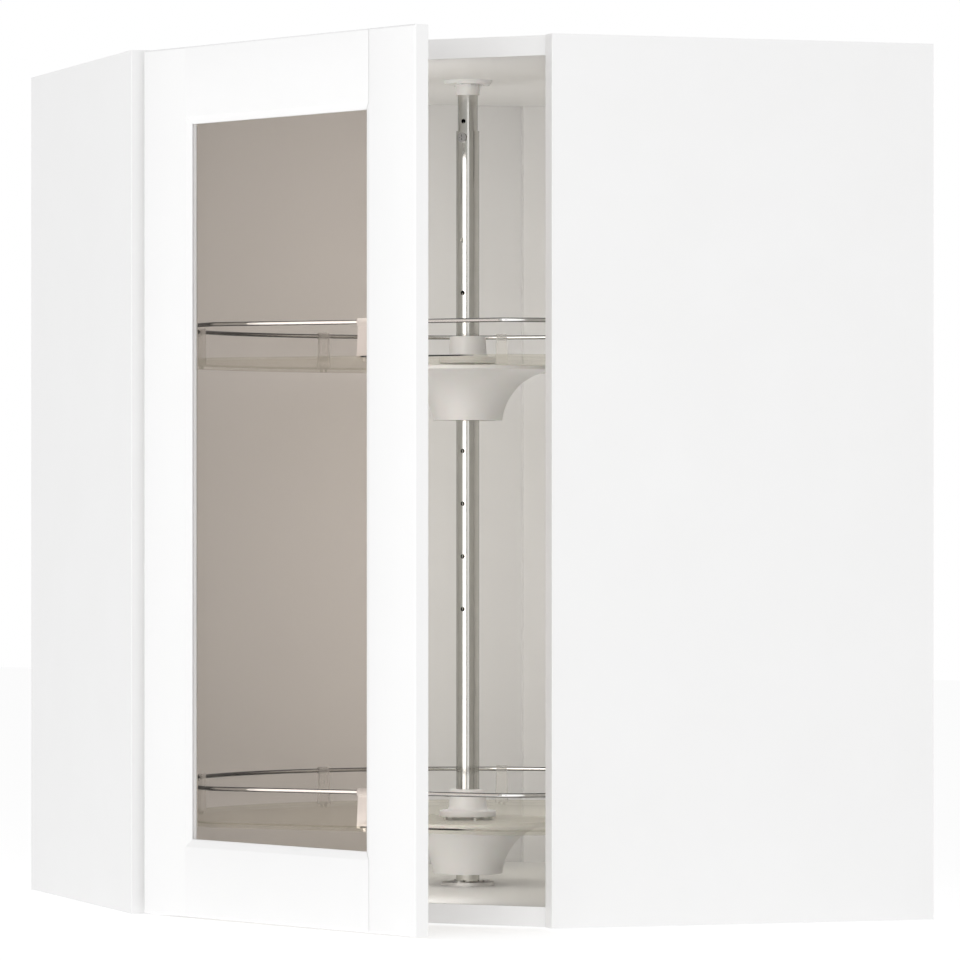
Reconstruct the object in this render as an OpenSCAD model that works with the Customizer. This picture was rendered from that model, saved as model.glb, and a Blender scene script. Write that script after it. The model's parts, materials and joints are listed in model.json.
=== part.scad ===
// Corner wall cabinet with a framed glass door on the diagonal and a carousel of two trays.
// The origin is where the carousel's axis meets the underside of the bottom board.
// +Z is up, +Y runs to the wall corner, and the diagonal front faces -Y. Millimetres.

/* [Cabinet] */
// Length of the cabinet along each wall
wall_len = 675; // [640:5:720]
// Depth of the side panels, square to the wall
side_depth = 370; // [355:5:385]
// Height of the cabinet
cab_h = 800; // [780:10:1000]
// Thickness of the side, top, bottom and corner boards
board_t = 18; // [16:0.5:20]
// Radius on the front edges of the side panels
board_edge_r = 1; // [0.5:0.25:2]
// Thickness of the thin back panels
back_t = 3; // [2.5:0.5:4]
// Distance from the wall to the thin back panels
back_inset = 8; // [6:0.5:10]
// Depth of the grooves that hold the back panels
groove_depth = 6; // [5:0.5:8]
// Width of the boards in the back corner
corner_w = 167; // [140:1:180]
// How far the top and bottom boards lie behind the side panels' front edges
deck_back = 2.5; // [2.5:0.25:5]
// Distance from the wall corner to the carousel's axis
axis_back = 472; // [462:1:480]

/* [Board fittings] */
// Diameter of the holes in the side panels for shelf pins and plate screws
pin_hole_d = 5; // [4:0.5:6]
// Depth of those holes
pin_hole_depth = 11; // [9:0.5:13]
// Distance of the front row of holes from the front edge
pin_row_front = 37; // [30:1:45]
// Distance between the two rows
pin_row_gap = 224; // [192:32:224]
// Spacing of the holes in a row
pin_pitch = 32; // [32:1:64]
// Diameter of the cam locks
cam_d = 15; // [12:0.5:16]
// Depth of the cam locks
cam_depth = 13; // [11:0.5:14]
// Distance of a cam lock's centre from the joint
cam_back = 34; // [24:1:40]
// Diameter of the cam bolts
cam_bolt_d = 7; // [5:0.5:8]
// Diameter of the wooden dowels
dowel_d = 8; // [6:0.5:10]
// Length of the wooden dowels
dowel_len = 30; // [24:1:36]

/* [Hanging brackets] */
// Thickness of the bracket's steel
bracket_t = 2.5; // [2:0.25:4]
// Height of a bracket
bracket_h = 60; // [50:1:80]
// Width of the leg that lies on the back panel
bracket_w = 36; // [30:1:45]
// Depth of the leg that lies on the side panel
bracket_d = 42; // [36:1:60]
// Diameter of the hole for the wall bolt
hang_hole_d = 8.5; // [6.5:0.5:10]
// Height of the wall bolt below the top of the cabinet
hang_drop = 58; // [55:1:80]

/* [Door] */
// Gap at each upright edge of the closed door, to the side panel's inner front corner
door_side_gap = 4.45; // [4:0.05:6]
// Reveal above and below the door
door_reveal = 1.5; // [1:0.25:3]
// Gap between the closed door and the cabinet's front edges
door_gap = 2; // [1.5:0.25:3]
// Thickness of the door frame
door_t = 16; // [16:0.5:20]
// Flat width of the stiles and rails, seen from the front
frame_face = 64; // [55:1:75]
// Width and depth of the bevel round the glass
bevel_w = 7; // [4:0.5:7]
// Thickness of the lip that the glass lies against
lip_t = 7.6; // [7.2:0.1:8]
// Depth of the rebate for the glass, behind the lip
rebate_w = 10; // [8:0.5:12]
// Radius on the outer front edges of the door
door_edge_r = 2; // [1:0.25:3]
// Thickness of the glass
glass_t = 4; // [3:0.5:4.5]
// Thickness of the seal in front of the glass
seal_t = 0.5; // [0.4:0.1:1]
// Play round the edge of the glass
glass_play = 1; // [0.5:0.25:2]
// How far the door stands open at rest, in degrees
rest_open = 24; // [0:1:60]

/* [Hinges] */
// Distance of a hinge's centre from the door's end
hinge_end = 94.5; // [80:0.5:140]
// Distance of the cup's centre from the door's edge
cup_edge = 20.5; // [20.5:0.25:22]
// Diameter of the hinge cup
cup_d = 35; // [34:0.5:36]
// Depth of the hinge cup
cup_depth = 12.5; // [12:0.25:13]
// Wall of the hinge cup
cup_wall = 1.2; // [1:0.1:1.4]
// Distance of the hinge pin from the door's edge
pin_edge = 8.5; // [8.25:0.25:9]
// Depth of the hinge pin below the back face of the door
pin_in = 5.8; // [5.6:0.1:6]
// Diameter of the hinge pin
pin_d = 3; // [2.5:0.25:3]
// Wall of the arm's eye round the pin
eye_wall = 1.25; // [1:0.05:1.3]
// Radius of the gooseneck that carries the arm round the door's edge
neck_r = 18; // [18:0.25:19]
// Thickness of the gooseneck
neck_t = 3.2; // [2.6:0.1:3.4]
// Width of the arm in the cup
arm_w = 11; // [9:0.5:11]

/* [Pole] */
// Outer diameter of the lower, wider tube
tube_d = 22; // [20:0.5:25]
// Wall of both tubes
tube_wall = 1.4; // [1:0.1:1.4]
// Outer diameter of the upper, narrower tube
inner_tube_d = 19; // [17:0.5:19]
// Distance from the top board down to the wide tube's top end
tube_short = 48; // [40:1:90]
// How far the narrow tube reaches down into the wide one
tube_lap = 134; // [60:1:200]
// Diameter of the adjusting holes
adjust_d = 4.4; // [3.5:0.1:5]
// Spacing of the adjusting holes
adjust_pitch = 50; // [40:1:60]
// Height of the lowest hole of the row
adjust_low = 280; // [240:5:320]
// Distance of the lock screw below the wide tube's top end
lock_drop = 6.5; // [5:0.5:12]
// Spacing of the two holes for the lock screw in the narrow tube
lock_pitch = 15.5; // [12:0.5:25]
// Diameter of the foot plate
foot_d = 50; // [44:1:60]
// Thickness of the foot plate
foot_t = 3; // [2:0.5:5]
// Diameter of the ceiling socket's flange
socket_d = 47; // [42:1:60]
// Thickness of the ceiling socket's flange
socket_t = 3.5; // [2.5:0.5:5]
// Height of the ceiling socket's collar
socket_h = 10.5; // [8:0.5:20]

/* [Trays] */
// Radius of the tray's round side
tray_r = 280; // [262:1:286]
// Distance from the axis to the tray's straight front edge
tray_front = 236; // [215:1:240]
// Radius on the two front corners
tray_corner_r = 20; // [12:1:30]
// Thickness of the tray's floor
tray_t = 3; // [2.5:0.5:4]
// Height of the lip above the tray's floor
lip_h = 2; // [1:0.5:4]
// Width of the lip
lip_w = 3; // [2:0.5:4]
// Height of the lower tray's underside
lower_tray_z = 80; // [76:1:90]
// Distance from the lower tray to the upper one
tray_pitch = 430; // [380:5:460]
// Diameter of the rail's wire
wire_d = 4; // [3:0.25:5]
// Height of the rail's middle above the tray's underside
rail_rise = 36; // [28:1:50]
// Distance of the rail's middle from the tray's edge
rail_inset = 4; // [4:0.25:5]

/* [Clips] */
// Width of a clip's head
clip_w = 10; // [8:0.5:14]
// How much wider a clip is at its foot
clip_flare = 3; // [1:0.5:5]
// Depth of a clip, square to the rail
clip_d = 7.5; // [7:0.25:8]
// Width of the clip that joins the wire's two ends
joint_clip_w = 22; // [16:1:30]
// Place of that clip along the front edge
joint_clip_x = 14; // [0:1:40]
// Wall of a clip's head round the wire
clip_wall = 1.6; // [1.2:0.1:2.4]
// Diameter of the prongs that hold a clip to the tray
prong_d = 2.4; // [2:0.1:3]
// Distance of the prongs' middle from the wire, inwards
prong_in = 1.5; // [0:0.25:2]

/* [Hubs] */
// Radius of the hub's flange under the tray
hub_flange_r = 90; // [88:1:100]
// Thickness of that flange
hub_flange_t = 3.8; // [3:0.1:5]
// Height of the whole cone
cone_h = 51; // [48:1:54]
// Radius of the cone's flared side, in section
flare_r = 52; // [48:1:52]
// Radius of the cone at its neck
neck_cone_r = 32.7; // [31:0.1:36]
// Wall of the cone
cone_wall = 2.5; // [2:0.1:3]
// Outer radius of the sleeve that turns on the pole
sleeve_r = 15; // [14:0.25:16]
// How far the sleeve reaches below the tray
sleeve_drop = 12; // [9:0.5:14]
// Height of the boss above the tray's floor
boss_h = 26; // [20:1:32]
// Radius of the boss at its top
boss_top_r = 17; // [15:0.5:19]
// Radius of the boss at its foot
boss_foot_r = 18; // [16:0.5:20]
// Radius of the boss's flange
boss_flange_r = 27; // [25:0.5:30]
// Thickness of the boss's flange
boss_flange_t = 6; // [4:0.5:8]
// Radius of the stop collar on the pole
stop_r = 17; // [15.5:0.25:18]
// Height of the stop collar
stop_h = 28; // [24:1:30]
// Thickness of the bearing ring between the collar and the sleeve
ring_t = 2; // [1:0.5:3]
// Distance of the stop pin below the tray's underside
stop_pin_drop = 30; // [28:1:32]

/* [Hidden] */

$fn = 64;
over = 1;            // how far a cutting shape runs past the face that it cuts
fit = 0.05;          // radial clearance of a turning or pushed-in fit
groove_play = 0.1;   // clearance on each side of a panel in its groove
root2 = sqrt(2);

// The plan
inner_len = wall_len - board_t;
inner_x = (inner_len - side_depth) / root2;
front_y = axis_back - (inner_len + side_depth) / root2;
wall_end = [-inner_len / root2, axis_back - inner_len / root2];
front_end = [-inner_x - deck_back, front_y + deck_back];

// Heights
floor_z = board_t;
ceiling_z = cab_h - board_t;
upper_tray_z = lower_tray_z + tray_pitch;
tray_zs = [lower_tray_z, upper_tray_z];

// The door, drawn closed
door_w = 2 * (inner_x - door_side_gap);
door_h = cab_h - 2 * door_reveal;
door_low = door_reveal;
door_back_y = front_y - door_gap;
door_front_y = door_back_y - door_t;
sight = frame_face + bevel_w;
rebate_u = sight - rebate_w;
glass_in = rebate_u + glass_play;
butt_gap = 0.2;
back_chamfer = 1.2;      // on the outer back edges of the stiles and rails
pad_play = 0.3;
// the upper hinge lies a whole number of holes above the lower one
hinge_rise = pin_pitch * round((door_h - 2 * hinge_end) / pin_pitch);
hinge_zs = [door_low + hinge_end, door_low + hinge_end + hinge_rise];
cup_x = cup_edge - door_w / 2;
cup_r = cup_d / 2;
cup_screw_dz = 24;
cup_screw_x = 6;
pin_x = pin_edge - door_w / 2;
pin_y = door_back_y - pin_in;

// The hinge side, measured from the left panel's inner front edge:
// first off the panel's face, then inwards along it
pin_off = ((pin_x + inner_x) + (pin_y - front_y)) / root2;
pin_along = (-(pin_x + inner_x) + (pin_y - front_y)) / root2;
neck_start = -50;
neck_end = 60;
arm_off = pin_off + neck_r * cos(neck_end);
arm_from = pin_along + neck_r * sin(neck_end);
plate_screw_z = pin_pitch / 2;
plate_base_t = 2;
plate_base_w = 28;
plate_end = 8;           // from a plate screw's middle to the plate's end
plate_block_w = 24;
plate_block_z = 7;       // half height of the plate's raised block
wing_z = 8.6;            // half height of the arm where it clasps the block

// The rows of holes pass through the hinge plates' screws
pin_first = hinge_zs[0] - plate_screw_z;
pin_count = floor((ceiling_z - cam_back - pin_first) / pin_pitch) + 1;
pin_rows = [side_depth - pin_row_front, side_depth - pin_row_front - pin_row_gap];

// Fittings between the side panels and the top and bottom boards
cam_in = 60;             // from a board's edge to the first cam lock
dowel_in = 92;           // from a board's edge to the first dowel
cam_ys = [cam_in, side_depth - cam_in];
dowel_ys = [dowel_in, side_depth - dowel_in];
corner_dowel_xs = [45, corner_w - 30];
fitting_zs = [board_t / 2, cab_h - board_t / 2];

// The pole and its holes
tube_top = ceiling_z - tube_short;
lock_z = tube_top - lock_drop;
pin_zs = [for (z = tray_zs) z - stop_pin_drop];
adjust_zs = [for (z = [adjust_low : adjust_pitch : lock_z - adjust_pitch - adjust_d])
    if (abs(z - pin_zs[1]) > adjust_d) z];
socket_screw_r = 17.5;
slot_turn = 33;          // of the collar's two slots
slot_w = 7;
slot_h = 2;

// Brackets
hang_z = cab_h - hang_drop;
hang_x = inner_len - bracket_w / 2 - 2;
bracket_y = back_inset + back_t + groove_play;
bracket_screw_y = bracket_y + bracket_d - 12;
bracket_screw_dz = 16;
notch_w = bracket_w - 4;             // the back panel's notch behind the bracket
notch_low = hang_z - 2 * hang_hole_d;

// The rail's and the clips' places round a tray
rail_r = tray_r - rail_inset;
rail_front = tray_front - rail_inset;
clip_count = 8;          // round the arc
clip_step = 19.2;        // half the angle between two clips
clip_first = 90 - (clip_count - 1) * clip_step;
clip_angles = [for (i = [0 : clip_count - 1]) clip_first + 2 * i * clip_step];
// the corner arc touches the round side and the straight edge
function corner_x(r, front, c) = sqrt((r - c) * (r - c) - (front - c) * (front - c));
function corner_a(r, front, c) = asin((front - c) / (r - c));

// The hub's flared side is an arc whose centre lies outside the cone
flare_x = neck_cone_r + flare_r;
flare_z = -hub_flange_t - flare_r;
hub_screw_r = 22.5;
hub_screw_d = 4;

function arc(cx, cy, r, a0, a1, n) =
    [for (i = [0 : n]) let (a = a0 + (a1 - a0) * i / n) [cx + r * cos(a), cy + r * sin(a)]];

module ring(r_out, r_in, h) {
    difference() {
        cylinder(r = r_out, h = h);
        translate([0, 0, -over]) cylinder(r = r_in, h = h + 2 * over);
    }
}

// A countersunk or pan-head screw whose head lies at z = 0 and whose shank points down
module screw(head_r, head_h, shank_r, length) {
    difference() {
        union() {
            cylinder(r = head_r, h = head_h);
            translate([0, 0, -length]) cylinder(r = shank_r, h = length);
        }
        for (turn = [0, 90]) rotate([0, 0, turn])
            translate([-head_r * 0.6, -0.4, head_h - 0.8]) cube([head_r * 1.2, 0.8, over + 0.8]);
    }
}

// Frames of reference
// At a wall: x runs along the wall from the corner, y runs into the room
module at_left_wall() { translate([0, axis_back, 0]) rotate([0, 0, -135]) children(); }
module at_right_wall() { mirror([1, 0, 0]) at_left_wall() children(); }
// At the left panel's inner front edge: x off the panel's face, y inwards along it
module at_hinge_side() { translate([-inner_x, front_y, 0]) rotate([0, 0, 45]) children(); }
// The closed door turned to its rest position about the hinge pins
module door_at_rest() {
    translate([pin_x, pin_y, 0]) rotate([0, 0, -rest_open]) translate([-pin_x, -pin_y, 0]) children();
}

// Carcass
module fitting_bores(play) {
    for (z = fitting_zs) {
        for (y = cam_ys) translate([inner_len - cam_back, y, z]) rotate([0, 90, 0])
            cylinder(d = cam_bolt_d + 2 * play, h = cam_back + pin_hole_depth);
        for (y = dowel_ys) translate([inner_len - dowel_len + pin_hole_depth, y, z]) rotate([0, 90, 0])
            cylinder(d = dowel_d + 2 * play, h = dowel_len);
    }
}

module side_board() {
    r = board_edge_r;
    difference() {
        translate([inner_len, 0, 0]) union() {
            cube([board_t, side_depth - r, cab_h]);
            translate([r, 0, 0]) cube([board_t - 2 * r, side_depth, cab_h]);
            for (x = [r, board_t - r]) translate([x, side_depth - r, 0]) cylinder(r = r, h = cab_h);
        }
        translate([inner_len - over, back_inset - groove_play, floor_z - groove_depth])
            cube([groove_depth + over, back_t + 2 * groove_play, ceiling_z - floor_z + 2 * groove_depth]);
        for (y = pin_rows, i = [0 : pin_count - 1])
            translate([inner_len - over, y, pin_first + i * pin_pitch]) rotate([0, 90, 0])
                cylinder(d = pin_hole_d, h = pin_hole_depth + over);
        for (dz = [-bracket_screw_dz, bracket_screw_dz])
            translate([inner_len - over, bracket_screw_y, hang_z + dz]) rotate([0, 90, 0])
                cylinder(d = pin_hole_d, h = pin_hole_depth + over);
        fitting_bores(fit);
    }
}

// The top or bottom board: upside says which face carries the cam locks
module deck_board(low, upside) {
    mouth = upside ? low + board_t - cam_depth : low - over;
    difference() {
        translate([0, 0, low]) linear_extrude(board_t)
            polygon([[0, axis_back], wall_end, front_end,
                [-front_end[0], front_end[1]], [-wall_end[0], wall_end[1]]]);
        for (side = [0, 1]) mirror([side, 0, 0]) at_left_wall() {
            translate([corner_w - groove_depth, back_inset - groove_play,
                upside ? low - over : low + board_t - groove_depth])
                cube([inner_len, back_t + 2 * groove_play, groove_depth + over]);
            for (y = cam_ys) translate([inner_len - cam_back, y, mouth])
                cylinder(d = cam_d + 2 * fit, h = cam_depth + over);
            fitting_bores(fit);
            for (x = corner_dowel_xs)
                translate([x, board_t / 2, upside ? low - over : floor_z - pin_hole_depth])
                cylinder(d = dowel_d + 2 * fit, h = pin_hole_depth + over);
        }
    }
}

// The wide panel ends beside the bracket, and a narrow one below the bracket fills the rest
module back_board() {
    reach = groove_depth - 0.5;
    low = floor_z - reach;
    seam = inner_len - notch_w;
    translate([corner_w - reach, back_inset, low])
        cube([seam - corner_w + reach, back_t, ceiling_z - low + reach]);
    translate([seam + butt_gap, back_inset, low])
        cube([notch_w + reach - butt_gap, back_t, notch_low - low]);
}

module corner_board(start) {
    difference() {
        translate([start, 0, floor_z]) cube([corner_w - start, board_t, ceiling_z - floor_z]);
        translate([corner_w - groove_depth, back_inset - groove_play, floor_z - over])
            cube([groove_depth + over, back_t + 2 * groove_play, ceiling_z - floor_z + 2 * over]);
        for (x = corner_dowel_xs, z = [floor_z - over, ceiling_z - dowel_len + pin_hole_depth])
            translate([x, board_t / 2, z])
                cylinder(d = dowel_d + 2 * fit, h = dowel_len - pin_hole_depth + over);
    }
}

module left_side_panel() { color("white") at_left_wall() side_board(); }
module right_side_panel() { color("white") at_right_wall() side_board(); }
module top_panel() { color("white") deck_board(ceiling_z, true); }
module bottom_panel() { color("white") deck_board(0, false); }
module left_back_panel() { color("gainsboro") at_left_wall() back_board(); }
module right_back_panel() { color("gainsboro") at_right_wall() back_board(); }
module left_corner_board() { color("whitesmoke") at_left_wall() corner_board(0); }
module right_corner_board() { color("whitesmoke") at_right_wall() corner_board(board_t); }

module cam_locks() {
    color("silver") for (side = [0, 1]) mirror([side, 0, 0]) at_left_wall()
        for (y = cam_ys, top = [0, 1])
            translate([inner_len - cam_back, y, top ? cab_h - cam_depth : 0]) difference() {
            cylinder(d = cam_d, h = cam_depth);
            translate([0, 0, (top ? cam_depth : 0) + (top ? -1 : 1) * board_t / 2]) rotate([0, 90, 0])
                cylinder(d = cam_bolt_d + 2 * fit, h = cam_d);
            for (turn = [0, 90]) rotate([0, 0, turn]) translate([-3, -0.75, top ? cam_depth - 2 : -over])
                cube([6, 1.5, 2 + over]);
        }
}

module cam_bolts() {
    color("silver") for (side = [0, 1]) mirror([side, 0, 0]) at_left_wall()
        for (y = cam_ys, z = fitting_zs) translate([inner_len - cam_back + 1, y, z]) rotate([0, 90, 0])
            cylinder(d = cam_bolt_d, h = cam_back - 1 + pin_hole_depth);
}

module wood_dowels() {
    color("burlywood") for (side = [0, 1]) mirror([side, 0, 0]) at_left_wall() {
        for (y = dowel_ys, z = fitting_zs) translate([inner_len - dowel_len + pin_hole_depth, y, z])
            rotate([0, 90, 0]) cylinder(d = dowel_d, h = dowel_len);
        for (x = corner_dowel_xs, z = [floor_z - pin_hole_depth, ceiling_z - dowel_len + pin_hole_depth])
            translate([x, board_t / 2, z]) cylinder(d = dowel_d, h = dowel_len);
    }
}

// The bracket hooks on the wall bolt, and its two legs meet in the cabinet's corner
module bracket() {
    low = hang_z - bracket_h / 2;
    difference() {
        union() {
            translate([inner_len - bracket_w, bracket_y, low]) cube([bracket_w, bracket_t, bracket_h]);
            translate([inner_len - bracket_t, bracket_y, low]) cube([bracket_t, bracket_d, bracket_h]);
            translate([inner_len, bracket_y, low]) linear_extrude(bracket_t)
                polygon([[0, 0], [-bracket_w + 6, 0], [-bracket_t, bracket_d - 6], [0, bracket_d - 6]]);
        }
        translate([hang_x, bracket_y - over, hang_z]) rotate([-90, 0, 0])
            cylinder(d = hang_hole_d, h = bracket_t + 2 * over);
        for (dz = [-bracket_screw_dz, bracket_screw_dz])
            translate([inner_len - bracket_t - over, bracket_screw_y, hang_z + dz]) rotate([0, 90, 0])
                cylinder(d = pin_hole_d + 2 * fit, h = bracket_t + 2 * over);
    }
}

module left_hanging_bracket() { color("silver") at_left_wall() bracket(); }
module right_hanging_bracket() { color("silver") at_right_wall() bracket(); }

module bracket_screws() {
    color("silver") for (side = [0, 1]) mirror([side, 0, 0]) at_left_wall()
        for (dz = [-bracket_screw_dz, bracket_screw_dz])
            translate([inner_len - bracket_t, bracket_screw_y, hang_z + dz]) rotate([0, -90, 0])
                screw(4, 2, pin_hole_d / 2 - fit, pin_hole_depth + bracket_t - 1);
}

// Concealed hinges
module hinge_plates() {
    color("silver") at_hinge_side() for (z = hinge_zs) translate([0, pin_row_front, z]) difference() {
        union() {
            translate([0, -plate_base_w / 2, -plate_screw_z - plate_end])
                cube([plate_base_t, plate_base_w, 2 * (plate_screw_z + plate_end)]);
            translate([0, -plate_block_w / 2, -plate_block_z])
                cube([arm_off - neck_t / 2, plate_block_w, 2 * plate_block_z]);
        }
        for (dz = [-plate_screw_z, plate_screw_z]) translate([-over, 0, dz]) rotate([0, 90, 0])
            cylinder(d = pin_hole_d + 2 * fit, h = plate_base_t + 2 * over);
    }
}

module plate_screws() {
    color("silver") at_hinge_side() for (z = hinge_zs, dz = [-plate_screw_z, plate_screw_z])
        translate([plate_base_t, pin_row_front, z + dz]) rotate([0, 90, 0])
            screw(4, 2, pin_hole_d / 2 - fit, pin_hole_depth + plate_base_t - 1);
}

// The arm's eye turns on the pin in the cup; its neck passes round the door's edge
function arm_profile() =
    let (r_out = neck_r + neck_t / 2, r_in = neck_r - neck_t / 2,
         x_out = arm_off - pin_off + neck_t / 2, x_in = x_out - neck_t,
         tail = arm_from - pin_along + 16, a = neck_start, w = eye_wall)
    concat(
        arc(0, 0, r_out, a - asin(w / r_out), acos(x_out / r_out), 24),
        [[x_out, tail], [x_in, tail]],
        arc(0, 0, r_in, acos(x_in / r_in), a + asin(w / r_in), 22),
        [[w * cos(a) - w * sin(a), w * sin(a) + w * cos(a)],
         [w * cos(a) + w * sin(a), w * sin(a) - w * cos(a)]]);

module hinge_arm() {
    arm_end = pin_row_front + 22;
    wing_from = arm_from + 12;
    wing_t = 1.4;
    difference() {
        union() {
            translate([pin_off, pin_along, -arm_w / 2]) {
                cylinder(r = pin_d / 2 + eye_wall, h = arm_w);
                linear_extrude(arm_w) polygon(arm_profile());
            }
            translate([arm_off - neck_t / 2, wing_from, -wing_z])
                cube([neck_t, arm_end - wing_from, 2 * wing_z]);
            for (z = [-wing_z, wing_z - wing_t]) translate([arm_off - neck_t / 2 - 5, wing_from, z])
                cube([6, arm_end - wing_from, wing_t]);
        }
        translate([pin_off, pin_along, -arm_w]) cylinder(d = pin_d + 2 * fit, h = 2 * arm_w);
    }
}

module hinge_arms() { color("silver") at_hinge_side() for (z = hinge_zs) translate([0, 0, z]) hinge_arm(); }

// Door
module stile_bar() {
    translate([-door_w / 2, door_front_y, door_low]) linear_extrude(door_h) polygon(frame_section());
}
// Section of a stile or rail: x from the outer edge, y from the front face
function frame_section() = concat(
    arc(door_edge_r, door_edge_r, door_edge_r, 180, 270, 5),
    [[frame_face, 0], [sight, bevel_w], [sight, lip_t], [rebate_u, lip_t], [rebate_u, door_t],
     [back_chamfer, door_t], [0, door_t - back_chamfer]]);

module rail_bar() {
    difference() {
        translate([rebate_u - door_w / 2, door_front_y, door_low + door_h]) rotate([0, 90, 0])
            linear_extrude(door_w - 2 * rebate_u) polygon(frame_section());
        stile_bar();
        mirror([1, 0, 0]) stile_bar();
    }
}

module cup_place() {
    for (z = hinge_zs) translate([cup_x, door_back_y, z]) rotate([90, 0, 0]) children();
}

module left_stile() {
    color("white") door_at_rest() difference() {
        stile_bar();
        cup_place() translate([0, 0, -over]) cylinder(r = cup_r + fit, h = cup_depth + fit + over);
        cup_place() for (dy = [-cup_screw_dz, cup_screw_dz]) translate([cup_screw_x, dy, -over])
            cylinder(d = 3, h = 10 + over);
    }
}
module right_stile() { color("white") door_at_rest() mirror([1, 0, 0]) stile_bar(); }
module top_rail() { color("white") door_at_rest() rail_bar(); }
module bottom_rail() {
    color("white") door_at_rest() translate([0, 0, cab_h]) mirror([0, 0, 1]) rail_bar();
}

module glass_pane() {
    color([0.7, 0.72, 0.7, 0.4]) door_at_rest()
        translate([glass_in - door_w / 2, door_front_y + lip_t + seal_t, door_low + glass_in])
            cube([door_w - 2 * glass_in, glass_t, door_h - 2 * glass_in]);
}

// Four strips round the opening, butted at the corners: low and high are distances from the
// door's edge, the strips lie from depth y0 to y1 behind the door's front face
module strips(low, high, y0, y1) {
    w = high - low;
    start = high + butt_gap - door_w / 2;
    for (side = [0, 1]) mirror([side, 0, 0])
        translate([low - door_w / 2, door_front_y + y0, door_low + low])
            cube([w, y1 - y0, door_h - 2 * low]);
    for (z = [door_low + low, door_low + door_h - high])
        translate([start, door_front_y + y0, z]) cube([-2 * start, y1 - y0, w]);
}
module glass_seal() {
    color("dimgray") door_at_rest() strips(glass_in, sight - 0.5, lip_t, lip_t + seal_t);
}
module glass_beads() {
    color("ivory") door_at_rest() strips(rebate_u, sight - 1, lip_t + seal_t + glass_t, door_t);
}

module hinge_cups() {
    color("silver") door_at_rest() cup_place() difference() {
        union() {
            cylinder(r = cup_r, h = cup_depth);
            translate([0, 0, -cup_wall]) cylinder(r = cup_r + 2, h = cup_wall);
            translate([-2, -cup_screw_dz - 6, -cup_wall])
                cube([cup_screw_x + 8, 2 * cup_screw_dz + 12, cup_wall]);
        }
        translate([0, 0, -cup_wall - over])
            cylinder(r = cup_r - cup_wall, h = cup_depth + over);
        translate([pin_x - cup_x, 0, pin_in]) rotate([90, 0, 0])
            cylinder(d = pin_d, h = 2 * pin_half(), center = true);
        for (dy = [-cup_screw_dz, cup_screw_dz]) translate([cup_screw_x, dy, -2 * cup_wall])
            cylinder(d = 3.6, h = 3 * cup_wall);
    }
}
// Half the pin's length: its ends sit in the cup's wall, just short of the cup's outside
function pin_half() = sqrt(pow(cup_r, 2) - pow(cup_x - pin_x + pin_d / 2, 2)) - 0.1;

module hinge_pins() {
    color("gray") door_at_rest() for (z = hinge_zs) translate([pin_x, pin_y, z])
        cylinder(d = pin_d, h = 2 * pin_half(), center = true);
}
module cup_screws() {
    color("silver") door_at_rest() cup_place() for (dy = [-cup_screw_dz, cup_screw_dz])
        translate([cup_screw_x, dy, -cup_wall]) mirror([0, 0, 1]) screw(3.2, 1.6, 1.5, 9);
}
// Clear stops between the door's free edge and the top and bottom boards
module door_pads() {
    color([0.9, 0.9, 0.9, 0.6]) door_at_rest() for (z = [board_t / 2, cab_h - board_t / 2])
        translate([door_w / 2 - 16, door_back_y, z]) rotate([-90, 0, 0])
            cylinder(r1 = 4.5, r2 = 3, h = door_gap + deck_back - pad_play);
}

// Pole
module cross_bore(z, d) {
    translate([0, 0, z]) rotate([90, 0, 0]) cylinder(d = d, h = 2 * tube_d, center = true, $fn = 32);
}
module pole_foot() {
    color("silver") translate([0, 0, floor_z]) difference() {
        union() {
            cylinder(d = foot_d, h = foot_t);
            translate([0, 0, foot_t]) cylinder(d = tube_d - 2 * tube_wall - 2 * fit, h = 12);
        }
        for (a = [30 : 120 : 270]) rotate([0, 0, a]) translate([socket_screw_r, 0, -over])
            cylinder(d = 4, h = foot_t + 2 * over);
    }
}
module foot_screws() {
    color("silver") for (a = [30 : 120 : 270]) rotate([0, 0, a])
        translate([socket_screw_r, 0, floor_z + foot_t]) screw(3.4, 1.4, 1.9, foot_t);
}
module pole_outer_tube() {
    color("silver") difference() {
        translate([0, 0, floor_z + foot_t])
            ring(tube_d / 2, tube_d / 2 - tube_wall, tube_top - floor_z - foot_t);
        for (z = concat(adjust_zs, pin_zs)) cross_bore(z, adjust_d);
        cross_bore(lock_z, adjust_d);
    }
}
module pole_inner_tube() {
    color("silver") difference() {
        translate([0, 0, tube_top - tube_lap])
            ring(inner_tube_d / 2, inner_tube_d / 2 - tube_wall, ceiling_z - socket_t - tube_top + tube_lap);
        for (z = [lock_z, lock_z + lock_pitch]) cross_bore(z, adjust_d);
    }
}
module pole_lock_screw() {
    color("silver") translate([0, -tube_d / 2, lock_z]) rotate([90, 0, 0])
        screw(4.6, 2.2, adjust_d / 2 - fit, tube_d - 2);
}
module pole_socket() {
    color("white") difference() {
        union() {
            translate([0, 0, ceiling_z - socket_t]) cylinder(d1 = socket_d - 3, d2 = socket_d, h = socket_t);
            translate([0, 0, ceiling_z - socket_t - socket_h])
                cylinder(r1 = inner_tube_d / 2 + 1.6, r2 = inner_tube_d / 2 + 2.4, h = socket_h);
        }
        translate([0, 0, ceiling_z - socket_t - socket_h - over])
            cylinder(d = inner_tube_d + 2 * fit, h = socket_h + over);
        for (a = [-slot_turn, 180 - slot_turn]) rotate([0, 0, a])
            translate([inner_tube_d / 2 + 0.4, -slot_w / 2, ceiling_z - socket_t - slot_h])
            cube([4, slot_w, slot_h]);
        for (a = [30 : 120 : 270]) rotate([0, 0, a])
            translate([socket_screw_r, 0, ceiling_z - socket_t - over])
            cylinder(d = 4, h = socket_t + 2 * over);
    }
}
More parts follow.
